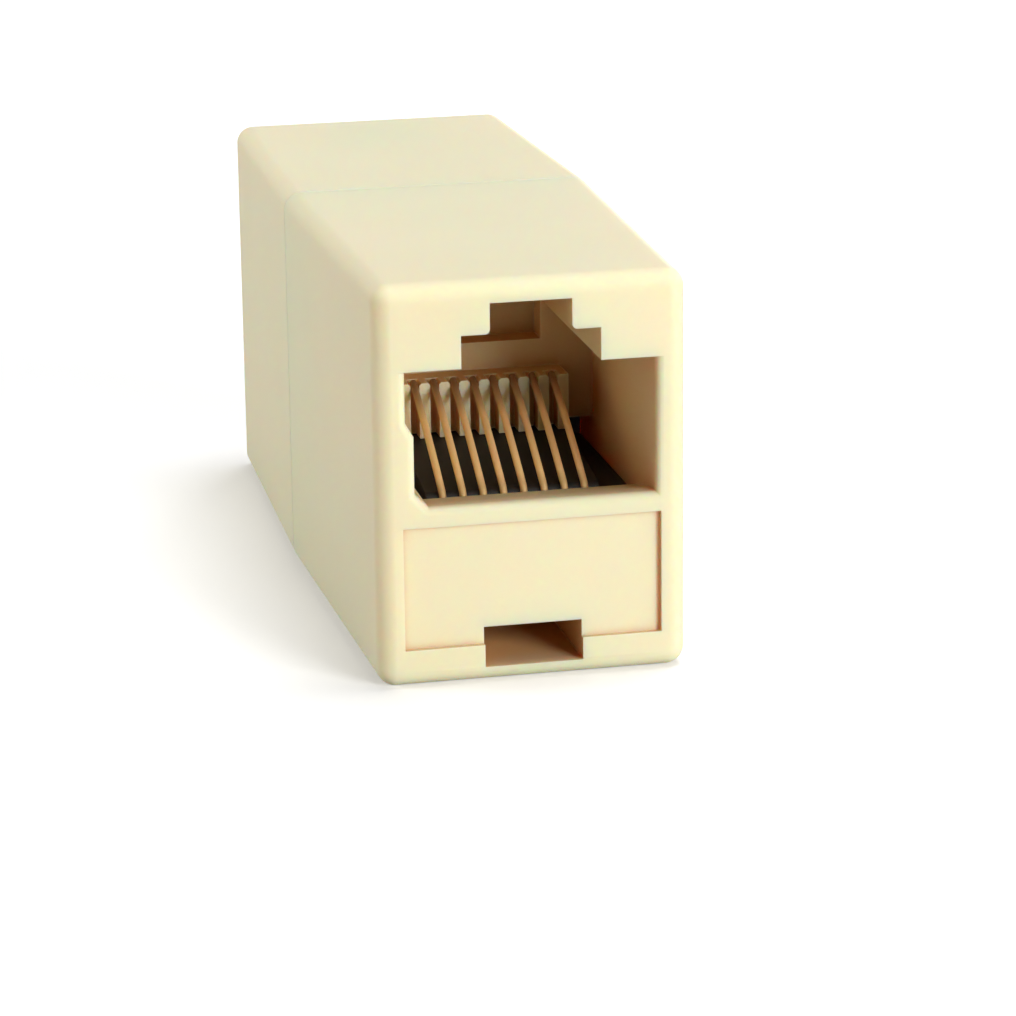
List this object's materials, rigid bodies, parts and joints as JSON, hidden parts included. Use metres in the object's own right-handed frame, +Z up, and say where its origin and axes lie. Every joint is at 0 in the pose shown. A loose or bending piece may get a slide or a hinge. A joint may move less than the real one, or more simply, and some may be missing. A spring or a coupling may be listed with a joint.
{
  "type": "modular inline coupler",
  "caption": "Inline coupler for network cables: a modular socket at each end, joined pin to pin inside a rounded two-part cream shell.",
  "frame": {"origin": "centre of the underside of the bounding box", "axes": "+Z up, -Y out of the front socket whose latch channel is up, +X to the right of that face"},
  "size_m": [0.0162, 0.042, 0.02],
  "materials": {
    "housing": "moulded cream ABS, satin",
    "insert": "moulded black nylon",
    "contact": "gold-plated spring wire, polished",
    "crimp": "tin-plated, satin",
    "lead_blue": "PVC insulation",
    "lead_orange": "PVC insulation",
    "lead_black": "PVC insulation",
    "lead_red": "PVC insulation",
    "lead_green": "PVC insulation",
    "lead_yellow": "PVC insulation",
    "lead_brown": "PVC insulation",
    "lead_grey": "PVC insulation"
  },
  "bodies": {
    "root": {"front_shell": "housing", "rear_shell": "housing", "front_insert": "insert", "rear_insert": "insert", "front_contact_1": "contact", "front_crimp_1": "crimp", "rear_contact_1": "contact", "rear_crimp_1": "crimp", "lead_1": "lead_blue", "front_contact_2": "contact", "front_crimp_2": "crimp", "rear_contact_2": "contact", "rear_crimp_2": "crimp", "lead_2": "lead_orange", "front_contact_3": "contact", "front_crimp_3": "crimp", "rear_contact_3": "contact", "rear_crimp_3": "crimp", "lead_3": "lead_black", "front_contact_4": "contact", "front_crimp_4": "crimp", "rear_contact_4": "contact", "rear_crimp_4": "crimp", "lead_4": "lead_red", "front_contact_5": "contact", "front_crimp_5": "crimp", "rear_contact_5": "contact", "rear_crimp_5": "crimp", "lead_5": "lead_green", "front_contact_6": "contact", "front_crimp_6": "crimp", "rear_contact_6": "contact", "rear_crimp_6": "crimp", "lead_6": "lead_yellow", "front_contact_7": "contact", "front_crimp_7": "crimp", "rear_contact_7": "contact", "rear_crimp_7": "crimp", "lead_7": "lead_brown", "front_contact_8": "contact", "front_crimp_8": "crimp", "rear_contact_8": "contact", "rear_crimp_8": "crimp", "lead_8": "lead_grey"}
  },
  "joints": []
}
